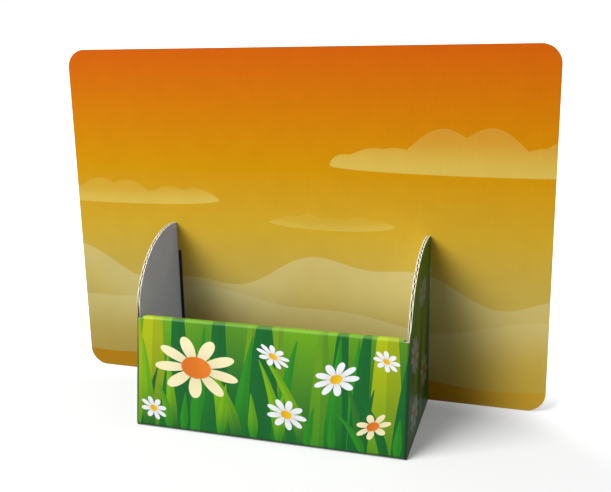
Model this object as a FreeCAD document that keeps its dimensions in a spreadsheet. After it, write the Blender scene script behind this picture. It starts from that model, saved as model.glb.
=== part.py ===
"""Counter display stand folded from corrugated board, in millimetres.

A wide picture card leans back behind a shallow tray. The tray is one folded blank: a bottom
with a glue flap on each side, a front that leans inward and rolls over into a double thickness,
and two side walls that rise in a curve to the card. A tab on the back of each side wall goes
through a slot in the card and is folded flat against its back.

The origin is the middle of the tray's underside, +Z is up and the front faces -Y.
"""
import FreeCAD, Part
import math
import os

import Sketcher

SIZES = [
    ("board", 2.5),             # thickness of the corrugated board
    ("card_width", 420.0),
    ("card_height", 297.0),
    ("card_lean", 5.0),         # degrees that the card leans back
    ("card_corner", 16.0),      # radius of the card's corners
    ("tray_width", 229.4),      # over the outside of the side walls
    ("tray_depth", 98.0),       # from the foot of the front to the card
    ("front_slant", 92.0),      # length of the front along its slope
    ("front_lean", 13.4),       # degrees that the front leans inward
    ("roll_rise", 2.0),         # how far the rolled edge stands over the front's cut ends
    ("roll_depth", 9.0),        # over both thicknesses of the double front
    ("wall_height", 146.4),     # top of the side walls
    ("wall_stub", 1.0),         # straight length of a wall's edge before its curve starts
    ("fold_inside", 0.2),       # radius on the inside of each fold
    ("flap_height", 22.0),      # glue flaps of the bottom
    ("tab_foot", 20.5),         # lower edge of the tabs, up the card's face
    ("tab_height", 98.0),
    ("tab_reach", 36.0),        # from the side wall's outer face to the tab's free end
    ("slot_room", 3.0),         # width of a slot past the board, on its inner side
    ("slot_head", 0.5),         # height of a slot past the tab, above and below
    ("clearance", 0.3),         # between faces that lie side by side
]

LEAN = "Sizes.front_lean"
TILT = "Sizes.card_lean"
BOARD = "Sizes.board"
GAP = "Sizes.clearance"
INSIDE = "Sizes.fold_inside"
OUTSIDE = f"({BOARD} + {INSIDE})"
HALF_DEPTH = "Sizes.tray_depth / 2"
HALF_TRAY = "Sizes.tray_width / 2"
WALL_INSIDE = f"({HALF_TRAY} - {BOARD})"
FLAP_OUTSIDE = f"({WALL_INSIDE} - {GAP})"
FRONT_HALF = f"({FLAP_OUTSIDE} - {OUTSIDE})"
ROLL_TOP = "(Sizes.front_slant + Sizes.roll_rise)"
CURVE_START = "(Sizes.front_slant + Sizes.wall_stub)"
CARD_FOOT = f"({BOARD} * tan({TILT}))"
CARD_TOP = f"({CARD_FOOT} + Sizes.card_height)"


def on_front(inward, along):
    """Side-view place of a point inward from the front's outer face and along its slope."""
    y = f"(-{HALF_DEPTH} + ({along}) * sin({LEAN}) + ({inward}) * cos({LEAN}))"
    z = f"(({along}) * cos({LEAN}) - ({inward}) * sin({LEAN}))"
    return y, z


def on_card(behind, along):
    """Side-view place of a point behind the card's front face and along its slope."""
    y = f"({HALF_DEPTH} + ({along}) * sin({TILT}) + ({behind}) * cos({TILT}))"
    z = f"(({along}) * cos({TILT}) - ({behind}) * sin({TILT}))"
    return y, z


def make_sheet(doc):
    """Write the driving sizes into a sheet, one row each, with the name as the cell's alias."""
    sheet = doc.addObject("Spreadsheet::Sheet", "Sizes")
    for row, (name, value) in enumerate(SIZES, start=1):
        sheet.set(f"A{row}", name)
        sheet.set(f"B{row}", str(value))
        sheet.setAlias(f"B{row}", name)
    doc.recompute()


def make_body(doc, label):
    """Add an empty body whose label is its piece's name."""
    body = doc.addObject("PartDesign::Body", label)
    body.Label = label
    return body


def make_sketch(body, name, plane, turn=None, base=(None, None, None)):
    """Attach a sketch to an origin plane, turned back about X and moved by expressions."""
    sketch = body.newObject("Sketcher::SketchObject", name)
    origin_plane = next(f for f in body.Origin.OriginFeatures if f.Role == plane)
    sketch.AttachmentSupport = [(origin_plane, "")]
    sketch.MapMode = "FlatFace"
    if turn:
        sketch.AttachmentOffset = FreeCAD.Placement(
            FreeCAD.Vector(), FreeCAD.Rotation(FreeCAD.Vector(1, 0, 0), -1.0))
        sketch.setExpression("AttachmentOffset.Rotation.Angle", f"-({turn})")
    for axis, place in zip("xyz", base):
        if place:
            sketch.setExpression(f"AttachmentOffset.Base.{axis}", place)
    return sketch


def rounding(points, radii, index):
    """Give the start, middle and end of the arc that rounds one corner of an outline."""
    corner = points[index]
    back = (points[index - 1] - corner).normalize()
    ahead = (points[(index + 1) % len(points)] - corner).normalize()
    half_angle = back.getAngle(ahead) / 2
    bisector = (back + ahead).normalize()
    radius = radii[index]
    reach = radius / math.tan(half_angle)
    to_arc = radius / math.sin(half_angle) - radius
    return corner + back * reach, corner + bisector * to_arc, corner + ahead * reach


def bind(sketch, kind, *target):
    """Add a dimension and drive it from the expression that ends the target."""
    *place, formula = target
    index = sketch.addConstraint(Sketcher.Constraint(kind, *place, sketch.evalExpression(formula)))
    sketch.setExpression(f"Constraints[{index}]", formula)


def pin(sketch, shape, end, x, y):
    """Fix one point of the sketch at x and y from its origin."""
    bind(sketch, "DistanceX", -1, 1, shape, end, x)
    bind(sketch, "DistanceY", -1, 1, shape, end, y)


def draw(sketch, corners):
    """Draw a closed outline through (x, y, radius) corners, sharp where the radius is None."""
    points = [FreeCAD.Vector(*(sketch.evalExpression(c) for c in corner[:2])) for corner in corners]
    radii = [sketch.evalExpression(corner[2]) if corner[2] else 0.0 for corner in corners]
    arcs = {i: rounding(points, radii, i) for i in range(len(corners)) if corners[i][2]}
    lines = []
    for i, point in enumerate(points):
        after = (i + 1) % len(points)
        start = arcs[i][2] if i in arcs else point
        end = arcs[after][0] if after in arcs else points[after]
        lines.append(sketch.addGeometry(Part.LineSegment(start, end)))
    for i, (x, y, radius) in enumerate(corners):
        before, after = lines[i - 1], lines[i]
        if i not in arcs:
            sketch.addConstraint(Sketcher.Constraint("Coincident", before, 2, after, 1))
            pin(sketch, after, 1, x, y)
            continue
        start, middle, end = arcs[i]
        arc = sketch.addGeometry(Part.Arc(start, middle, end))
        first = 1 if sketch.getPoint(arc, 1).distanceToPoint(start) < radii[i] / 10 else 2
        sketch.addConstraint(Sketcher.Constraint("Tangent", before, 2, arc, first))
        sketch.addConstraint(Sketcher.Constraint("Tangent", arc, 3 - first, after, 1))
        bind(sketch, "Radius", arc, radius)
        corner = sketch.addGeometry(Part.Point(points[i]), True)
        sketch.addConstraint(Sketcher.Constraint("PointOnObject", corner, 1, before))
        sketch.addConstraint(Sketcher.Constraint("PointOnObject", corner, 1, after))
        pin(sketch, corner, 1, x, y)


def draw_box(sketch, left, right, low, high, radius=None):
    """Draw a rectangle, with its corners rounded if a radius is given."""
    draw(sketch, [(left, low, radius), (right, low, radius), (right, high, radius), (left, high, radius)])


def make_feature(body, kind, name, sketch, length=None, symmetric=False, reverse=False):
    """Pad or pocket a sketch by a length, or pocket it through everything if none is given."""
    feature = body.newObject(f"PartDesign::{kind}", name)
    feature.Profile = sketch
    feature.SideType = "Symmetric" if symmetric else "One side"
    feature.Reversed = reverse
    if length:
        feature.setExpression("Length", length)
    else:
        feature.Type = "ThroughAll"
    sketch.Visibility = False
    return feature


def make_card(doc):
    """Make the picture card: a sheet with rounded corners and a slot for each tab."""
    body = make_body(doc, "header_card")
    sketch = make_sketch(body, "CardOutline", "XZ_Plane")
    half = "Sizes.card_width / 2"
    draw_box(sketch, f"-{half}", half, CARD_FOOT, CARD_TOP, "Sizes.card_corner")
    inner, outer = f"{WALL_INSIDE} - Sizes.slot_room", f"{HALF_TRAY} + {GAP}"
    low = "Sizes.tab_foot - Sizes.slot_head"
    high = "Sizes.tab_foot + Sizes.tab_height + Sizes.slot_head"
    draw_box(sketch, inner, outer, low, high)
    draw_box(sketch, f"-({outer})", f"-({inner})", low, high)
    make_feature(body, "Pad", "Card", sketch, BOARD, reverse=True)
    body.Placement = FreeCAD.Placement(
        FreeCAD.Vector(), FreeCAD.Rotation(FreeCAD.Vector(1, 0, 0), -1.0))
    body.setExpression("Placement.Base.y", HALF_DEPTH)
    body.setExpression("Placement.Rotation.Angle", f"-({TILT})")
    return body


def add_front(body):
    """Pad the bottom, the front, its rolled edge and the inner front that hangs from it."""
    back = f"({HALF_DEPTH} - {GAP})"
    foot = f"(({BOARD} + {BOARD} * sin({LEAN})) / cos({LEAN}))"
    under = f"({ROLL_TOP} - {BOARD})"
    inner_face = f"(Sizes.roll_depth - {BOARD})"
    inner_end = f"(({BOARD} + {GAP} + Sizes.roll_depth * sin({LEAN})) / cos({LEAN}))"
    sketch = make_sketch(body, "FrontSection", "YZ_Plane")
    draw(sketch, [
        (back, "0", None),
        (f"-{HALF_DEPTH}", "0", OUTSIDE),
        (*on_front("0", ROLL_TOP), OUTSIDE),
        (*on_front("Sizes.roll_depth", ROLL_TOP), OUTSIDE),
        (*on_front("Sizes.roll_depth", inner_end), None),
        (*on_front(inner_face, inner_end), None),
        (*on_front(inner_face, under), INSIDE),
        (*on_front(BOARD, under), INSIDE),
        (*on_front(BOARD, foot), INSIDE),
        (back, BOARD, None),
    ])
    make_feature(body, "Pad", "Front", sketch, f"2 * {FRONT_HALF}", symmetric=True)


def add_walls(body):
    """Pad both side walls with their folds into the front, then cut them to their outline."""
    reach = "(Sizes.tray_depth + Sizes.wall_height)"
    sketch = make_sketch(body, "WallSection", "XY_Plane", LEAN, (None, f"-{HALF_DEPTH}", None))
    for side in ("", "-"):
        draw(sketch, [
            (f"{side}{FRONT_HALF}", "0", None),
            (f"{side}({HALF_TRAY})", "0", OUTSIDE),
            (f"{side}({HALF_TRAY})", reach, None),
            (f"{side}{WALL_INSIDE}", reach, None),
            (f"{side}{WALL_INSIDE}", BOARD, INSIDE),
            (f"{side}{FRONT_HALF}", BOARD, None),
        ])
    make_feature(body, "Pad", "Walls", sketch, reach)

    above = make_sketch(body, "FrontTop", "XY_Plane", LEAN, (
        None,
        f"-{HALF_DEPTH} + Sizes.front_slant * sin({LEAN})",
        f"Sizes.front_slant * cos({LEAN})",
    ))
    for side in ("", "-"):
        draw_box(above, f"{side}{FRONT_HALF}", f"{side}{WALL_INSIDE}", f"-{BOARD}", f"2 * {BOARD}")
    make_feature(body, "Pocket", "FrontTopCut", above, reverse=True)

    far = f"(1.5 * {reach})"
    outline = make_sketch(body, "WallOutline", "YZ_Plane")
    draw_box(outline, f"-2 * {reach}", f"2 * {reach}", f"-{reach}", f"2 * {reach}")
    peak = f"(Sizes.wall_height / cos({LEAN}))"
    radius = f"(({peak} - {CURVE_START}) / tan((90 - {LEAN}) / 2))"
    draw(outline, [
        (far, "0", None),
        (*on_front("0", "0"), None),
        (*on_front("0", peak), radius),
        (far, "Sizes.wall_height", None),
    ])
    make_feature(body, "Pocket", "WallCut", outline, symmetric=True)

    behind = make_sketch(body, "WallBack", "YZ_Plane")
    draw(behind, [
        (*on_card("0", f"-{reach}"), None),
        (*on_card(far, f"-{reach}"), None),
        (*on_card(far, far), None),
        (*on_card("0", far), None),
    ])
    make_feature(body, "Pocket", "WallBackCut", behind, symmetric=True)


def add_flaps(body):
    """Pad the bottom's glue flaps, folded up against the side walls behind the inner front."""
    rear = f"({HALF_DEPTH} - {GAP})"
    front = (f"(-{HALF_DEPTH} + Sizes.roll_depth / cos({LEAN})"
             f" + Sizes.flap_height * tan({LEAN}) + {GAP})")
    inner = f"({FLAP_OUTSIDE} - {BOARD})"
    sketch = make_sketch(body, "FlapSection", "XZ_Plane", base=(None, None, f"-{rear}"))
    draw(sketch, [
        (f"-{FLAP_OUTSIDE}", "0", OUTSIDE),
        (FLAP_OUTSIDE, "0", OUTSIDE),
        (FLAP_OUTSIDE, "Sizes.flap_height", None),
        (inner, "Sizes.flap_height", None),
        (inner, BOARD, INSIDE),
        (f"-{inner}", BOARD, INSIDE),
        (f"-{inner}", "Sizes.flap_height", None),
        (f"-{FLAP_OUTSIDE}", "Sizes.flap_height", None),
    ])
    make_feature(body, "Pad", "Flaps", sketch, f"{rear} - {front}")


def add_tabs(body):
    """Pad the tabs, which go back through the card and fold inward over its back."""
    sketch = make_sketch(body, "TabSection", "XY_Plane", TILT, (
        None,
        f"{HALF_DEPTH} + Sizes.tab_foot * sin({TILT})",
        f"Sizes.tab_foot * cos({TILT})",
    ))
    free_end = f"({HALF_TRAY} - Sizes.tab_reach)"
    for side in ("", "-"):
        draw(sketch, [
            (f"{side}({HALF_TRAY})", f"-{BOARD}", None),
            (f"{side}({HALF_TRAY})", f"2 * {BOARD}", OUTSIDE),
            (f"{side}{free_end}", f"2 * {BOARD}", None),
            (f"{side}{free_end}", BOARD, None),
            (f"{side}{WALL_INSIDE}", BOARD, INSIDE),
            (f"{side}{WALL_INSIDE}", f"-{BOARD}", None),
        ])
    make_feature(body, "Pad", "Tabs", sketch, "Sizes.tab_height")


def make_tray(doc):
    """Make the tray, one blank with all its folds."""
    body = make_body(doc, "tray")
    add_front(body)
    add_walls(body)
    add_flaps(body)
    add_tabs(body)
    return body


def check(doc, pieces):
    """Stop if any object failed or any piece isn't one valid solid."""
    for item in doc.Objects:
        if "Invalid" in item.State or "Error" in item.State:
            raise RuntimeError(f"{item.Label} failed: {item.State}")
    for piece in pieces:
        if piece.Shape.isNull() or not piece.Shape.isValid() or len(piece.Shape.Solids) != 1:
            raise RuntimeError(f"{piece.Label} isn't one valid solid")


def main():
    """Build the stand and write each piece to its own file."""
    doc = FreeCAD.newDocument("DisplayStand")
    make_sheet(doc)
    pieces = [make_card(doc), make_tray(doc)]
    doc.recompute()
    check(doc, pieces)
    os.makedirs("parts", exist_ok=True)
    for piece in pieces:
        piece.Shape.exportStep(f"parts/{piece.Label}.step")
        box = piece.Shape.BoundBox
        print(f"{piece.Label}: {piece.Shape.Volume:.0f} mm3, {len(piece.Shape.Faces)} faces, "
              f"x {box.XMin:.1f} {box.XMax:.1f}, y {box.YMin:.1f} {box.YMax:.1f}, "
              f"z {box.ZMin:.2f} {box.ZMax:.1f}")


main()
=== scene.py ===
"""Looks of the cardboard display stand: printed corrugated board, folded, on the CAD frame.

Every sheet of board is three thin closed shells: an outer liner, a fluted medium and an
inner liner. Each follows the same folded surface, at its own depth below the outer face.
"""

import bpy
import numpy as np
from bpy.props import FloatProperty
from bpy.props import FloatVectorProperty
from bpy.props import PointerProperty
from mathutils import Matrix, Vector


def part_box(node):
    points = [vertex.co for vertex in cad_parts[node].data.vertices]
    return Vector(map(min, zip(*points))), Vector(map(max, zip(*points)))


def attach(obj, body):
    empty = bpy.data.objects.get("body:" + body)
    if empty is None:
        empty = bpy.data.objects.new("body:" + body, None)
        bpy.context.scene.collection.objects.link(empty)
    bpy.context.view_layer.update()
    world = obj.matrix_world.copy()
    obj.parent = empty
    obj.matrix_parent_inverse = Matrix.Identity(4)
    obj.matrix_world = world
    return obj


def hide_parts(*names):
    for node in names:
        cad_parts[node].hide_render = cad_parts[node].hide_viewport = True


bl_info = {
    "name": "Cardboard display stand",
    "version": (1, 0, 0),
    "blender": (4, 5, 0),
    "location": "3D View > Sidebar > Stand",
    "description": "Printed corrugated board, the header card, the folded tray and a plain studio",
    "category": "Object",
}

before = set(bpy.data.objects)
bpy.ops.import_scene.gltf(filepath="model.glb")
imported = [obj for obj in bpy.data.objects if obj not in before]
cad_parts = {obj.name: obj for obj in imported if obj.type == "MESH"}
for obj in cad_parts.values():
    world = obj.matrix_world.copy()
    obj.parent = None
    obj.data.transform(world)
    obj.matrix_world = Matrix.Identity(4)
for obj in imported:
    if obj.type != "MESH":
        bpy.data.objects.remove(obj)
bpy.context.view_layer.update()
CARD_LOW, CARD_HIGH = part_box("header_card")
TRAY_LOW, TRAY_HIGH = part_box("tray")
# Gaps and lengths of the blank that no user would change, in metres
CLEARANCE = 0.0003      # between glued or touching faces
SLOT_ROOM = 0.0033      # width of a slot beyond the board's thickness
SLOT_ENDS = (0.020, 0.119)
CURVE_STUB = 0.001      # straight edge of the wall under its curve
OPENING_RUN = 0.018     # over which the corner's fold opens out
FLAP_FRONT = -0.0342
FRONT_TO_TAB = 0.1036   # along the blank, from the front's end to the tab
PRINT_END = 0.118       # of the front's print, inside the roll
FLOOR_DROP = 0.0002
# Tints laid over the inks and the floor, as linear light: print shading, painted shade and painted
# light, and greys seen by diffuse rays
BLADE_SHADE = (0.004, 0.07, 0.012)
PETAL_SHADE = (0.45, 0.42, 0.30)
HEART_SHADE = (0.42, 0.07, 0.003)
# Painted shade on the card behind the tray, and painted light at its lower right
CARD_PAINTED_SHADE = (0.16, 0.12, 0.03)
CARD_PAINTED_LIGHT = (0.92, 0.60, 0.06)
CARD_BOUNCE = (0.12, 0.12, 0.13)
# Painted shade on the tray's side walls and along its foot, and a painted highlight on its roll
TRAY_PAINTED_SHADE = (0.01, 0.03, 0.01)
ROLL_PAINTED_HIGHLIGHT = (0.5, 0.85, 0.12)
FLOOR_SEEN = (0.64, 0.64, 0.64)
FLOOR_BOUNCE = (0.16, 0.16, 0.16)


def length(name, default, text):
    """A property for a size in metres."""
    return FloatProperty(name=name, default=default, description=text, unit="LENGTH",
                         subtype="DISTANCE", min=0.0, precision=5)


def colour(name, default, text):
    """A property for a colour, given as screen values from 0 to 255 and kept as linear light."""
    share = np.array(default) / 255.0
    light = np.where(share < 0.04045, share / 12.92, ((share + 0.055) / 1.055) ** 2.4)
    return FloatVectorProperty(name=name, default=tuple(light), description=text, size=3,
                               subtype="COLOR", min=0.0, max=1.0)


class BoardSizes(bpy.types.PropertyGroup):
    """How the corrugated board is made up and folded."""
    board: length("Board", 0.0025, "Thickness of the corrugated board")
    liner: length("Liner", 0.00042, "Thickness of each flat paper")
    medium: length("Medium", 0.00042, "Thickness of the fluted paper")
    pitch: length("Flute pitch", 0.0048, "Distance from one flute to the next")
    fold: length("Fold radius", 0.0027, "Radius of the outer face at a fold")
    front_lean: FloatProperty(name="Front lean", default=np.radians(13.4), subtype="ANGLE",
                              description="How far the tray's front leans back")
    card_lean: FloatProperty(name="Card lean", default=np.radians(5.0), subtype="ANGLE",
                             description="How far the header card leans back")
    card_width: length("Card width", CARD_HIGH.x - CARD_LOW.x, "Width of the header card")
    card_height: length("Card height", 0.297, "Height of the header card along its slope")
    card_corner: length("Card corner", 0.016, "Radius of the header card's corners")
    tray_width: length("Tray width", TRAY_HIGH.x - TRAY_LOW.x, "Width over the side walls")
    tray_depth: length("Tray depth", 0.098, "From the front's foot to the card's foot")
    front_half: length("Front half", 0.1092, "Half of the width of the rolled front")
    front_slant: length("Front slant", 0.092, "Height of the cut beside the roll, along the slope")
    roll_top: length("Roll top", 0.094, "Height of the rolled front, along its slope")
    roll_depth: length("Roll depth", 0.009, "Depth of the rolled front")
    wall_height: length("Wall height", 0.1464, "Height of the side walls at the card")
    wall_radius: length("Wall radius", 0.0728, "Radius of the side walls' curved edge")
    flap_height: length("Flap height", 0.022, "Height of the flaps beside the floor panel")
    tab_foot: length("Tab foot", 0.0205, "Lower end of the tabs, along the card")
    tab_height: length("Tab height", 0.098, "Length of the tabs, along the card")
    tab_end: length("Tab end", 0.0787, "Distance of the tabs' ends from the middle")


class PrintColours(bpy.types.PropertyGroup):
    """The inks and papers."""
    sky_top: colour("Sky top", (212, 96, 4), "Deep orange at the card's top")
    sky_high: colour("Sky high", (212, 119, 0), "Orange below the top")
    sky_middle: colour("Sky middle", (211, 148, 0), "Amber above the card's middle")
    sky_low: colour("Sky low", (208, 168, 44), "Yellow below the card's middle")
    sky_straw: colour("Sky straw", (192, 170, 84), "Straw above the dunes")
    sky_foot: colour("Sky foot", (168, 146, 74), "Tan at the card's foot")
    haze: colour("Haze", (222, 196, 92), "Pale tops of the haze banks")
    dune: colour("Dune", (218, 212, 158), "Pale tops of the dunes")
    ochre: colour("Ochre", (178, 124, 8), "Ochre ground at the foot")
    grass_dark: colour("Dark grass", (8, 96, 34), "Ground of the meadow")
    grass_mid: colour("Mid grass", (38, 134, 26), "Blades at the back")
    grass_lime: colour("Lime grass", (114, 172, 10), "Blades at the front")
    grass_yellow: colour("Yellow grass", (168, 180, 6), "Dry blades")
    petal_white: colour("White petal", (238, 239, 245), "Petals of the small blossoms")
    petal_cream: colour("Cream petal", (242, 231, 184), "Petals of the large blossoms")
    heart_yellow: colour("Yellow heart", (240, 196, 30), "Hearts of the small blossoms")
    heart_orange: colour("Orange heart", (226, 124, 36), "Hearts of the large blossoms")
    paper: colour("Paper", (222, 225, 231), "Unprinted face of the liners")
    cut: colour("Cut edge", (255, 250, 228), "Cut edges of all three papers")
    flute: colour("Flute", (176, 152, 112), "Inside of the flutes")
    # Painted shade: the tabs' inner liner is dark grey, so the slots read dark
    tab_painted_shade: colour("Tab liner painted shade", (70, 68, 72), "Liner of the tabs, in the slots")


class StudioLevels(bpy.types.PropertyGroup):
    """The lamp, the world, the floor and the camera."""
    key: FloatProperty(name="Key", default=352.0, unit="POWER",
                       description="Large lamp at the front left")
    fill: FloatProperty(name="Fill", default=0.31, description="Even light from all round")
    floor_glow: FloatProperty(name="Floor glow", default=0.14,
                              description="Lift of the floor's white")
    focal: FloatProperty(name="Focal length", default=54.87, subtype="DISTANCE_CAMERA",
                         description="Lens of the camera in millimetres")
    shift: FloatProperty(name="Shift", default=0.0827, description="Sideways shift of the picture")
    spot: FloatVectorProperty(name="Camera place", default=(0.2340, -0.6576, 0.3991), size=3,
                              subtype="TRANSLATION", unit="LENGTH",
                              description="Where the camera stands")
    turn: FloatVectorProperty(name="Camera turn", size=3, subtype="EULER",
                              default=tuple(np.radians((70.4075, 3.5254, 19.5239))),
                              description="How the camera is turned")


# Board: surfaces and shells

def front_point(across, behind, along):
    """Points beside the tray's front: behind its outer face and along its slope."""
    sizes = bpy.context.scene.stand_board
    turn = sizes.front_lean
    y = -sizes.tray_depth / 2 + along * np.sin(turn) + behind * np.cos(turn)
    z = along * np.cos(turn) - behind * np.sin(turn)
    return np.stack(np.broadcast_arrays(across, y, z), -1)


def card_point(across, behind, along):
    """Points beside the header card: behind its printed face and along its slope."""
    sizes = bpy.context.scene.stand_board
    turn = sizes.card_lean
    y = sizes.tray_depth / 2 + along * np.sin(turn) + behind * np.cos(turn)
    z = along * np.cos(turn) - behind * np.sin(turn)
    return np.stack(np.broadcast_arrays(across, y, z), -1)


def folded_path(start, heading, moves, radius, steps=8):
    """Section of a folded sheet's outer face: straight runs and left turns of one radius.

    A run adds its length along the heading. A turn goes round a centre one radius to the
    left, where the inner face is. Gives points, inward unit normals and lengths along it.
    """
    here = np.array(start, float)
    angle = np.radians(heading)
    points, inward, lengths = [here[None]], [[[-np.sin(angle), np.cos(angle)]]], [[0.0]]
    for kind, amount in moves:
        gone = lengths[-1][-1]
        if kind == "run":
            share = np.linspace(0, 1, 3)[1:]
            angles = np.full(2, angle)
            new = here + amount * share[:, None] * [np.cos(angle), np.sin(angle)]
            lengths.append(gone + amount * share)
        else:
            share = np.linspace(0, 1, steps + 1)[1:]
            angles = angle + np.radians(amount) * share
            centre = here + radius * np.array([-np.sin(angle), np.cos(angle)])
            new = centre + radius * np.stack((np.sin(angles), -np.cos(angles)), 1)
            lengths.append(gone + radius * np.radians(amount) * share)
        points.append(new)
        inward.append(np.stack((-np.sin(angles), np.cos(angles)), 1))
        here, angle = new[-1], angles[-1]
    return np.concatenate(points), np.concatenate(inward), np.concatenate(lengths)


def along_path(path, at):
    """Points and inward normals of a folded path at given lengths, straight between its samples."""
    points, inward, lengths = path
    place = np.stack([np.interp(at, lengths, points[:, k]) for k in (0, 1)], -1)
    normal = np.stack([np.interp(at, lengths, inward[:, k]) for k in (0, 1)], -1)
    return place, normal / np.linalg.norm(normal, axis=-1, keepdims=True)


def columns(low, high, edges, pitch, fluted):
    """Grid lines from low to high with every edge among them, and 12 to a flute if fluted."""
    lines = [low, high, *edges]
    if fluted:
        flutes = np.arange(np.ceil(low / pitch * 12), high / pitch * 12) * pitch / 12
        lines = np.concatenate((lines, flutes))
    lines = np.unique(np.round(np.clip(lines, low, high), 7))
    return lines[np.concatenate(([True], np.diff(lines) > 4e-6))]


def shell(outer, inner, blank, keep):
    """A closed thin sheet between two grids of points: both faces, and a rim round what is kept.

    A rim quad stands on each directed side of a kept cell that no other kept cell has in
    reverse. Gives points, faces, their material slots (0 outer, 1 rim, 2 inner) and UVs.
    """
    rows, lines = outer.shape[:2]
    count = rows * lines
    number = np.arange(count).reshape(rows, lines)
    cells = np.stack((number[:-1, :-1], number[:-1, 1:], number[1:, 1:], number[1:, :-1]), -1)[keep]
    sides = np.concatenate([np.stack((cells[:, k], cells[:, (k + 1) % 4]), 1) for k in range(4)])
    free = ~np.isin(sides[:, 0] * count + sides[:, 1], sides[:, 1] * count + sides[:, 0])
    rim = np.concatenate((sides[free][:, ::-1], sides[free] + count), 1)
    faces = np.concatenate((cells, cells[:, ::-1] + count, rim))
    slots = np.repeat([0, 2, 1], [len(cells), len(cells), len(rim)])
    points = np.concatenate((outer.reshape(-1, 3), inner.reshape(-1, 3)))
    corner = points[faces]
    turned = np.cross(corner[:, 2] - corner[:, 0], corner[:, 3] - corner[:, 1])
    if np.sum((corner[:, 0] - points.mean(0)) * turned) < 0:
        faces = faces[:, ::-1]
    used, index = np.unique(faces, return_inverse=True)
    flat = np.tile(blank.reshape(-1, 2), (2, 1))
    return points[used], index.reshape(-1, 4), slots, flat[used]


def make_piece(name, shells, materials, nodes=()):
    """One object of several shells, at the origin, with the UV map of the flat blank."""
    start = np.cumsum([0] + [len(s[0]) for s in shells])
    points = np.concatenate([s[0] for s in shells])
    faces = np.concatenate([s[1] + k for s, k in zip(shells, start)])
    mesh = bpy.data.meshes.new(name)
    mesh.from_pydata(points, [], faces)
    slots = np.concatenate([s[2] for s in shells])
    mesh.polygons.foreach_set("material_index", slots.astype(np.int32))
    layer = mesh.uv_layers.new(name="blank")
    blank = np.concatenate([s[3] for s in shells])
    layer.data.foreach_set("uv", blank[faces.ravel()].astype(np.float32).ravel())
    for material in materials:
        mesh.materials.append(material)
    mesh.shade_smooth()
    mesh.set_sharp_from_angle(angle=np.radians(32))
    mesh.validate()
    piece = bpy.data.objects.new(name, mesh)
    bpy.context.scene.collection.objects.link(piece)
    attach(piece, "root")
    if nodes:
        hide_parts(*nodes)
    return piece


def depths(layer, across):
    """Depth of a layer's two faces below the board's outer face, over the blank's width.

    The liners are flat. The medium is a sine wave of the flute pitch that fills the space
    between them.
    """
    sizes = bpy.context.scene.stand_board
    flat = np.zeros_like(across)
    if layer == "outer":
        return flat, flat + sizes.liner
    if layer == "inner":
        return flat + sizes.board, flat + sizes.board - sizes.liner
    swing = (sizes.board - 2 * sizes.liner - sizes.medium) / 2
    middle = sizes.board / 2 + swing * np.sin(2 * np.pi * across / sizes.pitch)
    return middle - sizes.medium / 2, middle + sizes.medium / 2


def card_shell(layer):
    """The header card: a flat rectangle with round corners and two slots.

    The corner's edge is the quarter circle height = radius - sqrt(radius^2 - x^2), with
    the grid lines closer together towards the side.
    """
    sizes = bpy.context.scene.stand_board
    half, corner = sizes.card_width / 2, sizes.card_corner
    foot = sizes.board * np.tan(sizes.card_lean)
    slot = sizes.tray_width / 2 + CLEARANCE - np.array([sizes.board + SLOT_ROOM, 0.0])
    quarter = half - corner + corner * np.sin(np.linspace(0, np.pi / 2, 17))
    edges = np.concatenate((-quarter, quarter, slot, -slot))
    across = columns(-half, half, edges, sizes.pitch, layer == "medium")
    beyond = np.maximum(np.abs(across) - half + corner, 0)
    cut = corner - np.sqrt(np.maximum(corner**2 - beyond**2, 0))
    low, high = (0 * across + end for end in SLOT_ENDS)
    rows = np.stack((foot + cut, low, high, foot + sizes.card_height - cut))
    wide = np.broadcast_to(across, rows.shape)
    near, far = depths(layer, wide)
    keep = np.ones((3, len(across) - 1), bool)
    centre = np.abs((across[1:] + across[:-1]) / 2)
    keep[1] = (centre < slot[0]) | (centre > slot[1])
    faces = card_point(wide, near, rows), card_point(wide, far, rows)
    return shell(*faces, np.stack((wide, rows), -1), keep)


def strip_shell(layer):
    """Floor panel, front, roll and the panel inside it: one strip folded along its length."""
    sizes = bpy.context.scene.stand_board
    fold, half = sizes.fold, sizes.front_half
    turn = np.degrees(sizes.front_lean) + 90
    tangent = fold * np.tan(np.radians(turn) / 2)
    floor_run = sizes.tray_depth - CLEARANCE - tangent
    front_run = sizes.roll_top - fold - tangent
    drop = sizes.roll_depth * np.sin(sizes.front_lean)
    gap = (sizes.board + CLEARANCE + drop) / np.cos(sizes.front_lean)
    inner_run = sizes.roll_top - fold - gap
    moves = [("run", floor_run), ("turn", turn), ("run", front_run), ("turn", 90),
             ("run", sizes.roll_depth - 2 * fold), ("turn", 90), ("run", inner_run)]
    start = (-sizes.tray_depth / 2 + CLEARANCE, 0)
    points, inward, lengths = folded_path(start, 0, moves, fold)
    up = lengths - floor_run - fold * np.radians(turn) + tangent
    across = columns(-half, half, [], sizes.pitch, layer == "medium")
    wide, tall = np.meshgrid(across, up)
    near, far = depths(layer, wide)
    faces = []
    for depth in (near, far):
        place = points[:, None] + inward[:, None] * depth[..., None]
        faces.append(np.stack((wide, -place[..., 0], place[..., 1]), -1))
    keep = np.ones((len(up) - 1, len(across) - 1), bool)
    return shell(*faces, np.stack((wide, tall), -1), keep)


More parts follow.
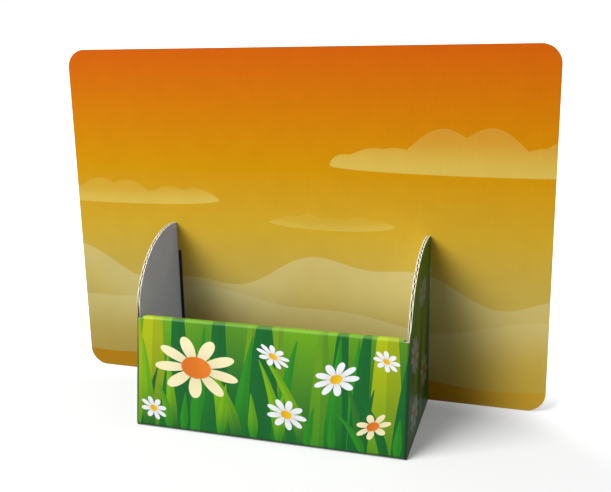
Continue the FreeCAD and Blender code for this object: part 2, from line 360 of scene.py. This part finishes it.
def wrap_shell(layer, side):
    """One end of the front, its fold and the side wall with the curved top.

    The wall's edge is a quarter circle from the front's top to the level top, then the
    level line, then the card's face. Above the cut beside the roll the fold opens out
    into the flat wall, by a smooth step over 18 mm. The foot turns in with the arc of the
    front's foot fold, a share that falls to nothing along the corner's fold.
    """
    sizes = bpy.context.scene.stand_board
    lean, fold, radius = sizes.front_lean, sizes.fold, sizes.wall_radius
    run = sizes.tray_width / 2 - fold - sizes.front_half
    slope = np.sin(lean) - np.cos(lean) * np.tan(sizes.card_lean)
    tilt = np.cos(lean) + np.sin(lean) * np.tan(sizes.card_lean)
    deepest = sizes.tray_depth / (tilt + slope * np.tan(lean))
    moves = [("run", run), ("turn", 90), ("run", deepest - fold)]
    path = folded_path((sizes.front_half, 0), 0, moves, fold)
    bent = run + fold * np.pi / 2
    level = radius * (1 - np.cos(np.linspace(0, np.pi / 2, 49)))
    top = sizes.tray_depth - sizes.wall_height * slope / np.cos(lean)
    top = top / (tilt + slope * np.tan(lean))
    edges = np.concatenate((path[2], bent - fold + level, [bent - fold + top, bent - fold]))
    first = sizes.front_half
    across = columns(first, first + path[2][-1], first + edges, sizes.pitch, layer == "medium")
    at = across - first
    flat = at - bent + fold
    rise = np.sqrt(np.maximum(radius**2 - np.clip(radius - flat, 0, radius) ** 2, 0))
    level_line = (sizes.wall_height + flat * np.sin(lean)) / np.cos(lean)
    high = np.minimum(sizes.front_slant + CURVE_STUB + rise, level_line)
    high = np.minimum(high, (sizes.tray_depth - flat * tilt) / slope)
    low = 0 * at
    cut = np.minimum(sizes.front_slant, high)
    share = np.linspace(0, 1, 9)[1:, None] ** 1.5
    tangent = fold * np.tan((np.pi / 2 + lean) / 2)
    toe = np.linspace(1, 0, 8)[:, None]
    inner = np.clip(1 - (at - run) / (bent - run), 0, 1)
    rows = np.concatenate(((1 - toe) * tangent + low, cut[None] * 0.5, cut[None],
                           cut + (np.maximum(high, cut) - cut) * share))
    arc = np.zeros((len(rows), 1))
    arc[:8] = toe * (np.pi / 2 + lean)
    place, normal = along_path(path, np.broadcast_to(at, rows.shape))
    ease = np.clip((rows - sizes.front_slant) / OPENING_RUN, 0, 1)
    ease = (ease * ease * (3 - 2 * ease) * (at < bent))[..., None]
    straight = np.broadcast_arrays(sizes.tray_width / 2, np.broadcast_to(flat, rows.shape))
    straight = np.stack(straight, -1)
    place = place * (1 - ease) + straight * ease
    normal = normal * (1 - ease) + np.array([-1.0, 0.0]) * ease
    normal = normal / np.linalg.norm(normal, axis=-1, keepdims=True)
    wide = np.broadcast_to(across * side, rows.shape)
    faces = []
    for depth in depths(layer, wide):
        left = fold - depth
        spot = place + normal * (depth + inner * left * (1 - np.cos(arc)))[..., None]
        turned = inner * (tangent - left * np.sin(arc)) + (1 - inner) * rows
        along = np.where(arc > 0, turned, rows)
        along = np.maximum(along, spot[..., 1] * np.tan(lean))
        faces.append(front_point(spot[..., 0] * side, spot[..., 1], along))
    centre = (at[1:] + at[:-1]) / 2
    keep = np.ones((len(rows) - 1, len(at) - 1), bool)
    keep[9:] = centre > bent - fold
    tall = np.maximum(rows, place[..., 1] * np.tan(lean))
    return shell(*faces, np.stack((wide, tall), -1), keep)


def tab_shell(layer, side):
    """A tab through the card's slot, folded inwards behind the card."""
    sizes = bpy.context.scene.stand_board
    reach = sizes.tray_width / 2 - sizes.fold - sizes.tab_end
    moves = [("run", 2 * sizes.board - sizes.fold), ("turn", 90), ("run", reach)]
    path = folded_path((sizes.tray_width / 2, 0), 90, moves, sizes.fold)
    first = sizes.front_half + FRONT_TO_TAB
    across = columns(first, first + path[2][-1], first + path[2], sizes.pitch, layer == "medium")
    rows = np.array([sizes.tab_foot, sizes.tab_foot + sizes.tab_height])
    wide, tall = np.meshgrid(across * side, rows)
    place, normal = along_path(path, np.broadcast_to(across - first, wide.shape))
    faces = []
    for depth in depths(layer, wide):
        spot = place + normal * depth[..., None]
        faces.append(card_point(spot[..., 0] * side, spot[..., 1], tall))
    return shell(*faces, np.stack((wide, tall), -1), np.ones((1, len(across) - 1), bool))


def flap_shell(layer, side):
    """A low flap that stands up from the floor panel, inside the side wall."""
    sizes = bpy.context.scene.stand_board
    moves = [("turn", 90), ("run", sizes.flap_height - sizes.fold)]
    path = folded_path((sizes.front_half, 0), 0, moves, sizes.fold)
    first = sizes.front_half
    across = columns(first, first + path[2][-1], first + path[2], sizes.pitch, layer == "medium")
    ends = np.array([FLAP_FRONT, sizes.tray_depth / 2 - CLEARANCE])
    wide, back = np.meshgrid(across * side, ends)
    place, normal = along_path(path, np.broadcast_to(across - first, wide.shape))
    faces = []
    for depth in depths(layer, wide):
        spot = place + normal * depth[..., None]
        faces.append(np.stack((spot[..., 0] * side, back, spot[..., 1]), -1))
    blank = np.stack((wide, -back - sizes.tray_depth / 2), -1)
    return shell(*faces, blank, np.ones((1, len(across) - 1), bool))


def tray_shells(layer):
    """All shells of one layer of the tray. The walls' outer faces are in slot 3, the tabs' in 4."""
    sides = []
    for make, own in ((wrap_shell, 3), (tab_shell, 4)):
        for side in (-1, 1):
            points, faces, slots, blank = make(layer, side)
            sides.append((points, faces, np.where(slots == 0, own, slots), blank))
    return [strip_shell(layer), *sides, flap_shell(layer, -1), flap_shell(layer, 1)]


# Inks and papers: shader arithmetic

class Term:
    """A number in a shader tree. Arithmetic on it adds Math nodes."""

    def __init__(self, tree, socket):
        self.tree = tree
        self.socket = socket

    def math(self, operation, *others):
        made = self.tree.nodes.new("ShaderNodeMath")
        made.operation = operation
        for socket, value in zip(made.inputs, (self, *others)):
            if isinstance(value, Term):
                self.tree.links.new(value.socket, socket)
            else:
                socket.default_value = value
        return Term(self.tree, made.outputs[0])

    def __add__(self, other):
        return self.math("ADD", other)

    def __sub__(self, other):
        return self.math("SUBTRACT", other)

    def __mul__(self, other):
        return self.math("MULTIPLY", other)

    def __truediv__(self, other):
        return self.math("DIVIDE", other)

    def __pow__(self, other):
        return self.math("POWER", other)

    def __lt__(self, other):
        return self.math("LESS_THAN", other)

    def __gt__(self, other):
        return self.math("GREATER_THAN", other)

    def step(self, low, high, first=0.0, last=1.0):
        """A smooth step of this number from low to high, between first and last."""
        made = self.tree.nodes.new("ShaderNodeMapRange")
        made.interpolation_type = "SMOOTHSTEP"
        for socket, value in zip(made.inputs, (self, low, high, first, last)):
            if isinstance(value, Term):
                self.tree.links.new(value.socket, socket)
            else:
                socket.default_value = value
        return Term(self.tree, made.outputs[0])


def blend(tree, share, first, last, kind="MIX"):
    """A colour between two, or one laid over the other, by a share."""
    made = tree.nodes.new("ShaderNodeMix")
    made.data_type = "RGBA"
    made.blend_type = kind
    for socket, value in ((made.inputs[0], share), (made.inputs[6], first), (made.inputs[7], last)):
        if isinstance(value, Term):
            value = value.socket
        if isinstance(value, bpy.types.NodeSocket):
            tree.links.new(value, socket)
        elif isinstance(value, float):
            socket.default_value = value
        else:
            socket.default_value = (*value[:3], 1.0)
    return made.outputs[2]


def open_group(name, numbers, colours):
    """A new node group that takes and gives a colour: its tree, numbers and colours."""
    tree = bpy.data.node_groups.new(name, "ShaderNodeTree")
    tree.interface.new_socket("Colour", in_out="OUTPUT", socket_type="NodeSocketColor")
    tree.interface.new_socket("Colour", in_out="INPUT", socket_type="NodeSocketColor")
    for label in ("X", "Y", *numbers):
        tree.interface.new_socket(label, in_out="INPUT", socket_type="NodeSocketFloat")
    for label in colours:
        tree.interface.new_socket(label, in_out="INPUT", socket_type="NodeSocketColor")
    entry = tree.nodes.new("NodeGroupInput")
    found = {label: Term(tree, entry.outputs[label]) for label in ("X", "Y", *numbers)}
    found.update({label: entry.outputs[label] for label in ("Colour", *colours)})
    return tree, found


def close_group(tree, result):
    """Ends a node group with its colour."""
    leave = tree.nodes.new("NodeGroupOutput")
    tree.links.new(result, leave.inputs["Colour"])
    return tree


def use_group(tree, group, running, x, y, **values):
    """Lays a group over the running colour, and gives the new one."""
    made = tree.nodes.new("ShaderNodeGroup")
    made.node_tree = group
    tree.links.new(x.socket, made.inputs["X"])
    tree.links.new(y.socket, made.inputs["Y"])
    tree.links.new(running, made.inputs["Colour"])
    for label, value in values.items():
        socket = made.inputs[label.replace("_", " ")]
        socket.default_value = (*value[:3], 1.0) if hasattr(value, "__len__") else value
    return made.outputs["Colour"]


def blade_group(name, reach):
    """A row of grass blades. Each cell of the row has one blade, and later cells lie on top.

    A blade may lean over as many neighbouring cells as the reach says.

    A blade's middle line leans and bends with its height, its width grows from a share at
    the base and falls to a point, its colour goes from the first to the last with its height,
    and it is darker on one side of the middle line.
    """
    numbers = ("Spacing", "Foot", "Length", "Width", "Base", "Lean", "Seed")
    tree, get = open_group(name, numbers, ("First", "Last"))
    running = get["Colour"]
    cell = (get["X"] / get["Spacing"]).math("FLOOR")
    for step in range(-reach, reach + 1):
        index = cell + float(step)
        noise = tree.nodes.new("ShaderNodeTexWhiteNoise")
        noise.noise_dimensions = "1D"
        tree.links.new((index * 7.31 + get["Seed"]).socket, noise.inputs["W"])
        part = tree.nodes.new("ShaderNodeSeparateColor")
        tree.links.new(noise.outputs["Color"], part.inputs[0])
        one, two, three = (Term(tree, part.outputs[k]) for k in range(3))
        four = Term(tree, noise.outputs["Value"])
        tall = get["Length"] * (one * 0.55 + 0.7)
        up = (get["Y"] - get["Foot"]) / tall
        bend = (two - 0.35) * get["Lean"] * tall
        middle = (index + 0.15 + three * 0.7) * get["Spacing"] + bend * up * (up * 0.7 + 0.3)
        away = get["X"] - middle
        wide = get["Width"] * (four * 0.6 + 0.7)
        shape = (up * -1.0 + 1.0).math("MAXIMUM", 0.0) ** 0.8 * up.step(0.0, 0.4, get["Base"], 1.0)
        inside = (away.math("ABSOLUTE") - wide * shape).step(0.0, 0.00025, 1.0, 0.0)
        inside = inside * (up > 0.0) * (up < 0.995)
        running = blend(tree, inside, running, get["First"])
        light = inside * (four + one).step(0.55, 1.05) * up.step(0.0, 0.6)
        running = blend(tree, light, running, get["Last"])
        dark = inside * away.step(-0.0002, 0.0002, 0.0, 0.22)
        running = blend(tree, dark, running, BLADE_SHADE)
    return close_group(tree, running)


def blossom_group():
    """A blossom: petals where the distance is under a power of |cos(petals x angle / 2)|.

    A round heart lies on them.
    """
    numbers = ("At X", "At Y", "Size", "Squash", "Tilt", "Petals", "Turn", "Point", "Core")
    tree, get = open_group("blossom", numbers, ("Petal", "Heart"))
    up = (get["Y"] - get["At Y"]) / get["Size"] * get["Squash"]
    across = (get["X"] - get["At X"]) / get["Size"] + up * get["Tilt"]
    away = (across * across + up * up).math("SQRT")
    angle = up.math("ARCTAN2", across) + get["Turn"]
    lobe = (angle * get["Petals"] * 0.5).math("COSINE").math("ABSOLUTE")
    inside = (away - lobe ** get["Point"]).step(-0.012, 0.012, 1.0, 0.0)
    heart = away.step(get["Core"], get["Core"] + 0.03, 1.0, 0.0)
    running = blend(tree, inside, get["Colour"], get["Petal"])
    running = blend(tree, inside * away.step(0.2, 0.8, 0.28, 0.0), running, PETAL_SHADE)
    running = blend(tree, heart, running, get["Heart"])
    running = blend(tree, heart * across.step(-0.3, 0.3, 0.35, 0.0), running, HEART_SHADE)
    return close_group(tree, running)


def haze_group():
    """A haze bank: a flat foot, an elliptic top with puffs, brightest along the foot."""
    numbers = ("At X", "At Y", "Reach", "Rise", "Puff", "Strength")
    tree, get = open_group("haze bank", numbers, ("Tint",))
    across = (get["X"] - get["At X"]) / get["Reach"]
    dome = (across * across * -1.0 + 1.0).math("MAXIMUM", 0.0).math("SQRT")
    wave = (get["X"] / get["Puff"]).math("SINE").math("ABSOLUTE")
    slow = (get["X"] / get["Puff"] * 0.37 + 1.3).math("SINE").math("ABSOLUTE")
    top = get["At Y"] + dome * get["Rise"] * (wave * 0.28 + slow * 0.42 + 0.30)
    inside = (top - get["Y"]).step(0.0, 0.0005, 0.0, 1.0)
    foot = get["At Y"] - dome * 0.006
    inside = inside * (get["Y"] - foot).step(0.0, 0.0006, 0.0, 1.0)
    fade = (get["Y"] - foot).step(0.0, get["Rise"] * 0.9, 1.0, 0.34)
    share = inside * fade * get["Strength"]
    return close_group(tree, blend(tree, share, get["Colour"], get["Tint"]))


def dune_group():
    """A dune: ground below a level plus two sine waves, brightest along its crest."""
    numbers = ("Level", "Rise", "Wave", "Phase", "Fade", "Strength")
    tree, get = open_group("dune", numbers, ("Tint",))
    slow = (get["X"] / get["Wave"] + get["Phase"]).math("SINE")
    fast = (get["X"] / get["Wave"] * 2.7 + get["Phase"] * 1.9).math("SINE")
    crest = get["Level"] + get["Rise"] * (slow * 0.72 + fast * 0.28)
    under = crest - get["Y"]
    inside = under.step(0.0, 0.0006, 0.0, 1.0) * under.step(0.0, get["Fade"], 1.0, 0.0)
    share = inside * get["Strength"]
    return close_group(tree, blend(tree, share, get["Colour"], get["Tint"]))


def new_material(name, roughness, specular):
    """A material with its shader, and the blank's two coordinates in metres."""
    material = bpy.data.materials.new(name)
    material.use_nodes = True
    tree = material.node_tree
    shader = tree.nodes["Principled BSDF"]
    shader.inputs["Roughness"].default_value = roughness
    shader.inputs["Specular IOR Level"].default_value = specular
    spread = tree.nodes.new("ShaderNodeUVMap")
    spread.uv_map = "blank"
    part = tree.nodes.new("ShaderNodeSeparateXYZ")
    tree.links.new(spread.outputs[0], part.inputs[0])
    return material, tree, shader, Term(tree, part.outputs[0]), Term(tree, part.outputs[1])


def paper_bump(tree, shader, x, washboard, grain):
    """The flutes show through as a faint washboard, with the paper's fine grain over it."""
    sizes = bpy.context.scene.stand_board
    wave = (x * (2 * np.pi / sizes.pitch)).math("SINE") * washboard
    place = tree.nodes.new("ShaderNodeTexCoord")
    noise = tree.nodes.new("ShaderNodeTexNoise")
    noise.inputs["Scale"].default_value = 900.0
    noise.inputs["Detail"].default_value = 2.0
    tree.links.new(place.outputs["Object"], noise.inputs["Vector"])
    height = wave + Term(tree, noise.outputs[0]) * grain
    bump = tree.nodes.new("ShaderNodeBump")
    bump.inputs["Strength"].default_value = 1.0
    bump.inputs["Distance"].default_value = 0.001
    tree.links.new(height.socket, bump.inputs["Height"])
    tree.links.new(bump.outputs[0], shader.inputs["Normal"])


def fibres(tree, running, amount):
    """Lets a colour vary a little, as paper does."""
    place = tree.nodes.new("ShaderNodeTexCoord")
    noise = tree.nodes.new("ShaderNodeTexNoise")
    noise.inputs["Scale"].default_value = 55.0
    noise.inputs["Detail"].default_value = 5.0
    tree.links.new(place.outputs["Object"], noise.inputs["Vector"])
    share = Term(tree, noise.outputs[0]).step(0.25, 0.75, 1.0 - amount, 1.0)
    grey = tree.nodes.new("ShaderNodeCombineColor")
    for socket in grey.inputs:
        tree.links.new(share.socket, socket)
    return blend(tree, 1.0, running, grey.outputs[0], "MULTIPLY")


def paper_material(name, tint, roughness, amount, washboard, grain):
    """Unprinted paper."""
    tree, shader, x = new_material(name, roughness, 0.25)[1:4]
    tree.links.new(fibres(tree, tint, amount), shader.inputs["Base Color"])
    paper_bump(tree, shader, x, washboard, grain)


# Place in x and y, half width, height, puff size and strength
HAZE_BANKS = (
    (0.170, 0.200, 0.140, 0.036, 0.0150, 0.80),
    (-0.170, 0.166, 0.100, 0.018, 0.0110, 0.75),
    (0.030, 0.150, 0.055, 0.009, 0.0070, 0.50),
)
# Level, height, wave, phase, fade, strength and ink
DUNES = (
    (0.104, 0.020, 0.046, 0.6, 0.060, 0.38, "dune"),
    (0.074, 0.013, 0.060, 2.9, 0.050, 0.28, "dune"),
    (0.019, 0.005, 0.052, 1.4, 0.080, 0.95, "ochre"),
)


def sunset_material():
    """Ink of the header card: a sky from orange to straw, haze banks, dunes and an ochre ground.

    Painted shade darkens the print low down behind the tray, and painted light lightens it
    towards the lower right corner.
    """
    inks = bpy.context.scene.stand_inks
    material, tree, shader, x, y = new_material("sunset print", 0.55, 0.07)
    ramp = tree.nodes.new("ShaderNodeValToRGB")
    tones = ramp.color_ramp
    tones.elements[0].position = 0.0
    tones.elements[1].position = 1.0
    steps = ((0.0, inks.sky_foot), (0.27, inks.sky_straw), (0.48, inks.sky_low),
             (0.66, inks.sky_middle), (0.86, inks.sky_high), (1.0, inks.sky_top))
    tones.elements[0].color = (*steps[0][1], 1.0)
    tones.elements[1].color = (*steps[-1][1], 1.0)
    for position, tint in steps[1:-1]:
        tones.elements.new(position).color = (*tint, 1.0)
    tree.links.new((y / 0.297).socket, ramp.inputs[0])
    running = ramp.outputs[0]
    haze, dune = haze_group(), dune_group()
    for at_x, at_y, reach, rise, puff, strength in HAZE_BANKS:
        running = use_group(tree, haze, running, x, y, At_X=at_x, At_Y=at_y, Reach=reach,
                            Rise=rise, Puff=puff, Strength=strength, Tint=inks.haze)
    for level, rise, wave, phase, fade, strength, ink in DUNES:
        running = use_group(tree, dune, running, x, y, Level=level, Rise=rise, Wave=wave,
                            Phase=phase, Fade=fade, Strength=strength, Tint=getattr(inks, ink))
    # Painted shade: the print darkens low down behind the tray, where the tray shades the card
    behind = (x.math("ABSOLUTE") < 0.112) * y.step(0.03, 0.1, 0.5, 0.0)
    running = blend(tree, behind, running, CARD_PAINTED_SHADE)
    # Painted light: the print lightens towards the lower right corner, against the tray's shadow
    # there
    outer = x.step(0.115, 0.19, 0.0, 1.0) * y.step(0.0, 0.13, 0.5, 0.0)
    running = blend(tree, outer, running, CARD_PAINTED_LIGHT)
    rays = tree.nodes.new("ShaderNodeLightPath")
    cast = Term(tree, rays.outputs["Is Diffuse Ray"]) * 0.8
    running = blend(tree, cast, fibres(tree, running, 0.04), CARD_BOUNCE)
    tree.links.new(running, shader.inputs["Base Color"])
    paper_bump(tree, shader, x, 0.010, 0.012)
    return material


# Reach in cells, spacing, foot, length, half width, its share at the base, lean, seed, two inks
BLADE_ROWS = (
    (1, 0.0270, -0.030, 0.170, 0.0140, 0.9, 0.10, 1.3, "grass_mid", "grass_yellow"),
    (1, 0.0340, -0.020, 0.160, 0.0105, 0.8, 0.16, 5.9, "grass_dark", "grass_dark"),
    (1, 0.0330, -0.015, 0.092, 0.0080, 0.7, 0.36, 4.1, "grass_dark", "grass_mid"),
    (2, 0.0290, -0.004, 0.066, 0.0062, 0.7, -0.8, 9.2, "grass_dark", "grass_lime"),
    (2, 0.0250, 0.000, 0.042, 0.0064, 0.4, -1.2, 2.6, "grass_mid", "grass_lime"),
)
# Place in x and y, size, squash, tilt, petals, their turn, and if it is a cream one
FRONT_BLOSSOMS = (
    (-0.060, 0.055, 0.0370, 1.45, 0.10, 9, 0.3, True),
    (0.088, 0.024, 0.0130, 1.2, -0.4, 7, 0.5, True),
    (0.006, 0.071, 0.0125, 1.3, 0.5, 9, 0.9, False),
    (0.058, 0.058, 0.0175, 1.25, -0.3, 9, 0.5, False),
    (0.018, 0.025, 0.0165, 1.35, 0.2, 9, 0.2, False),
    (-0.098, 0.017, 0.0115, 1.2, 0.3, 8, 0.7, False),
    (0.097, 0.076, 0.0100, 1.2, 0.3, 8, 1.0, False),
)
SIDE_BLOSSOMS = (
    (0.134, 0.078, 0.0160, 1.0, 0.2, 9, 0.2, False),
    (0.160, 0.124, 0.0150, 1.2, -0.3, 9, 0.6, False),
    (0.180, 0.056, 0.0150, 1.0, 0.2, 8, 0.8, True),
    (0.142, 0.030, 0.0160, 1.1, -0.2, 9, 0.3, False),
    (-0.138, 0.060, 0.0150, 1.1, 0.2, 9, 0.4, False),
    (-0.162, 0.112, 0.0200, 1.2, -0.2, 8, 0.1, True),
    (-0.186, 0.066, 0.0130, 1.0, 0.1, 8, 0.9, False),
)


def meadow_material(name, blossoms):
    """Ink of the tray: rows of grass blades, back to front, and blossoms. It ends inside the roll.

    Painted shade darkens it from the corner folds over the side walls and along the foot,
    and a painted highlight lightens it where it goes over the roll.
    """
    inks = bpy.context.scene.stand_inks
    material, tree, shader, x, y = new_material(name, 0.45, 0.22)
    ground = (y / 0.16).math("ADD", (x / 0.021).math("SINE") * 0.10)
    running = blend(tree, ground.step(0.05, 0.95, 0.0, 1.0), inks.grass_dark, inks.grass_lime)
    for reach, spacing, foot, tall, width, base, lean, seed, first, last in BLADE_ROWS:
        label = f"blade row {reach}"
        blades = bpy.data.node_groups.get(label) or blade_group(label, reach)
        running = use_group(tree, blades, running, x, y, Spacing=spacing, Foot=foot,
                            Length=tall, Width=width, Base=base, Lean=lean, Seed=seed,
                            First=getattr(inks, first), Last=getattr(inks, last))
    blossom = bpy.data.node_groups.get("blossom") or blossom_group()
    for at_x, at_y, size, squash, tilt, petals, turn, large in blossoms:
        petal = inks.petal_cream if large else inks.petal_white
        heart = inks.heart_orange if large else inks.heart_yellow
        point, core = (0.58, 0.34) if large else (0.46, 0.26)
        running = use_group(tree, blossom, running, x, y, At_X=at_x, At_Y=at_y, Size=size,
                            Squash=squash, Tilt=tilt, Petals=petals, Turn=turn, Point=point,
                            Core=core, Petal=petal, Heart=heart)
    from_middle = x.math("ABSOLUTE")
    # Painted shade: the print darkens from the corner folds onwards, over the whole side walls
    corner = from_middle.step(0.1115, 0.1145, 0.0, 0.6)
    running = blend(tree, corner, running, TRAY_PAINTED_SHADE)
    # Painted shade: a dark band along the foot fold, where the board meets the floor
    foot_painted_shade = y.step(0.0005, 0.0045, 0.75, 0.0)
    running = blend(tree, foot_painted_shade, running, TRAY_PAINTED_SHADE)
    front = from_middle < 0.1093
    # Painted highlight: the print lightens over the top of the roll, which faces the light
    roll = front * y.step(0.0915, 0.0945, 0.0, 0.18)
    running = blend(tree, roll, running, ROLL_PAINTED_HIGHLIGHT)
    running = blend(tree, front * (y > PRINT_END), running, inks.paper)
    tree.links.new(fibres(tree, running, 0.04), shader.inputs["Base Color"])
    paper_bump(tree, shader, x, 0.012, 0.012)
    return material


# Operators

def paper_set():
    """The unprinted papers, made once."""
    if "white liner" not in bpy.data.materials:
        inks = bpy.context.scene.stand_inks
        paper_material("white liner", inks.paper, 0.72, 0.05, 0.016, 0.02)
        paper_material("cut edge", inks.cut, 0.85, 0.22, 0.0, 0.05)
        paper_material("fluted medium", inks.flute, 0.88, 0.15, 0.0, 0.04)
        # The tabs' inner liner, painted dark grey as the shade in the slots
        paper_material("tab liner painted shade", inks.tab_painted_shade, 0.8, 0.1, 0.0, 0.02)
    names = ("white liner", "cut edge", "fluted medium", "tab liner painted shade")
    return [bpy.data.materials[name] for name in names]


class STAND_OT_card(bpy.types.Operator):
    """Makes the printed header card"""
    bl_idname = "stand.header_card"
    bl_label = "Header card"

    def execute(self, context):
        white, cut, flute = paper_set()[:3]
        for name, layer, face in (("card_front_liner", "outer", sunset_material()),
                                  ("card_medium", "medium", flute),
                                  ("card_back_liner", "inner", white)):
            materials = [face, cut, flute]
            make_piece(name, [card_shell(layer)], materials, ["header_card"])
        return {"FINISHED"}


class STAND_OT_tray(bpy.types.Operator):
    """Makes the folded tray with its walls, tabs and flaps"""
    bl_idname = "stand.tray"
    bl_label = "Folded tray"

    def execute(self, context):
        white, cut, flute, tab_painted_shade = paper_set()
        front = meadow_material("front print", FRONT_BLOSSOMS)
        wall = meadow_material("side print", SIDE_BLOSSOMS)
        # The tabs' inner faces take the liner painted dark as shade in the slots
        for name, layer, faces in (("tray_outer_liner", "outer", (front, wall, wall)),
                                   ("tray_medium", "medium", (flute, flute, flute)),
                                   ("tray_inner_liner", "inner", (white, white, tab_painted_shade))):
            materials = [faces[0], cut, flute, faces[1], faces[2]]
            make_piece(name, tray_shells(layer), materials, ["tray"])
        return {"FINISHED"}


def area_lamp(name, place, aim, size, power):
    """A square lamp at a place, turned to its aim."""
    lamp = bpy.data.lights.new(name, "AREA")
    lamp.shape = "SQUARE"
    lamp.size = size
    lamp.energy = power
    holder = bpy.data.objects.new(name, lamp)
    holder.location = place
    holder.rotation_euler = (Vector(aim) - Vector(place)).to_track_quat("-Z", "Y").to_euler()
    bpy.context.scene.collection.objects.link(holder)


def floor_material(glow):
    """Pale floor that reads white away from the stand and still takes its shadow.

    Its glow rises with the distance from the stand, measured on an ellipse that is wide in x.
    """
    material = bpy.data.materials.new("studio floor")
    material.use_nodes = True
    tree = material.node_tree
    shader = tree.nodes["Principled BSDF"]
    shader.inputs["Roughness"].default_value = 0.9
    shader.inputs["Specular IOR Level"].default_value = 0.1
    shader.inputs["Emission Color"].default_value = (1.0, 1.0, 1.0, 1.0)
    rays = tree.nodes.new("ShaderNodeLightPath")
    glossy = Term(tree, rays.outputs["Is Glossy Ray"])
    shown = Term(tree, rays.outputs["Is Camera Ray"]).math("MAXIMUM", glossy)
    cast = Term(tree, rays.outputs["Is Diffuse Ray"])
    grey = blend(tree, cast, FLOOR_SEEN, FLOOR_BOUNCE)
    tree.links.new(grey, shader.inputs["Base Color"])
    place = tree.nodes.new("ShaderNodeTexCoord")
    part = tree.nodes.new("ShaderNodeSeparateXYZ")
    tree.links.new(place.outputs["Object"], part.inputs[0])
    across = Term(tree, part.outputs[0]) * 0.6
    back = (Term(tree, part.outputs[1]) + 0.05) * 1.6
    away = (across * across + back * back).math("SQRT")
    lift = away.step(0.15, 0.28, glow, 1.0)
    tree.links.new((shown * lift).socket, shader.inputs["Emission Strength"])
    return material


class STAND_OT_studio(bpy.types.Operator):
    """Makes the floor, the lamp, the world and the camera"""
    bl_idname = "stand.studio"
    bl_label = "Studio"

    def execute(self, context):
        scene, levels = context.scene, context.scene.stand_studio
        reach = np.linspace(-4, 4, 9)
        x, y = np.meshgrid(reach, reach)
        points = np.stack((x, y, 0 * x - FLOOR_DROP), -1).reshape(-1, 3)
        number = np.arange(81).reshape(9, 9)
        cells = np.stack((number[:-1, :-1], number[:-1, 1:], number[1:, 1:], number[1:, :-1]), -1)
        mesh = bpy.data.meshes.new("floor")
        mesh.from_pydata(points, [], cells.reshape(-1, 4))
        mesh.materials.append(floor_material(levels.floor_glow))
        floor = bpy.data.objects.new("floor", mesh)
        scene.collection.objects.link(floor)
        area_lamp("key lamp", (-2.45, -2.00, 3.60), (0, 0.02, 0.12), 3.2, levels.key)
        world = bpy.data.worlds.new("studio")
        world.use_nodes = True
        scene.world = world
        tree = world.node_tree
        rays = tree.nodes.new("ShaderNodeLightPath")
        shown = Term(tree, rays.outputs["Is Camera Ray"])
        level = shown * (1.0 - levels.fill) + levels.fill
        tree.nodes["Background"].inputs["Color"].default_value = (1.0, 1.0, 1.0, 1.0)
        tree.links.new(level.socket, tree.nodes["Background"].inputs["Strength"])
        camera = bpy.data.cameras.new("camera")
        camera.lens = levels.focal
        camera.sensor_width = 36.0
        camera.shift_x = levels.shift
        stand = bpy.data.objects.new("camera", camera)
        stand.location = levels.spot
        stand.rotation_euler = levels.turn
        scene.collection.objects.link(stand)
        scene.camera = stand
        scene.view_settings.view_transform = "Standard"
        return {"FINISHED"}


class STAND_PT_panel(bpy.types.Panel):
    """Lists the stand's operators and properties"""
    bl_label = "Display stand"
    bl_idname = "STAND_PT_panel"
    bl_space_type = "VIEW_3D"
    bl_region_type = "UI"
    bl_category = "Stand"

    def draw(self, context):
        for operator in OPERATORS:
            self.layout.operator(operator.bl_idname)
        for name, group in GROUPS.items():
            box = self.layout.box()
            for label in group.__annotations__:
                box.prop(getattr(context.scene, name), label)


GROUPS = {"stand_board": BoardSizes, "stand_inks": PrintColours, "stand_studio": StudioLevels}
OPERATORS = (STAND_OT_studio, STAND_OT_card, STAND_OT_tray)


def register():
    """Registers the classes and hangs the properties on the scene."""
    for made in (*GROUPS.values(), *OPERATORS, STAND_PT_panel):
        bpy.utils.register_class(made)
    for name, group in GROUPS.items():
        setattr(bpy.types.Scene, name, PointerProperty(type=group))


def unregister():
    """Takes the properties and the classes away again."""
    for name in GROUPS:
        delattr(bpy.types.Scene, name)
    for made in reversed((*GROUPS.values(), *OPERATORS, STAND_PT_panel)):
        bpy.utils.unregister_class(made)


def main():
    register()
    bpy.ops.stand.studio()
    bpy.ops.stand.header_card()
    bpy.ops.stand.tray()
    bpy.context.view_layer.update()


if __name__ == "__main__":
    main()
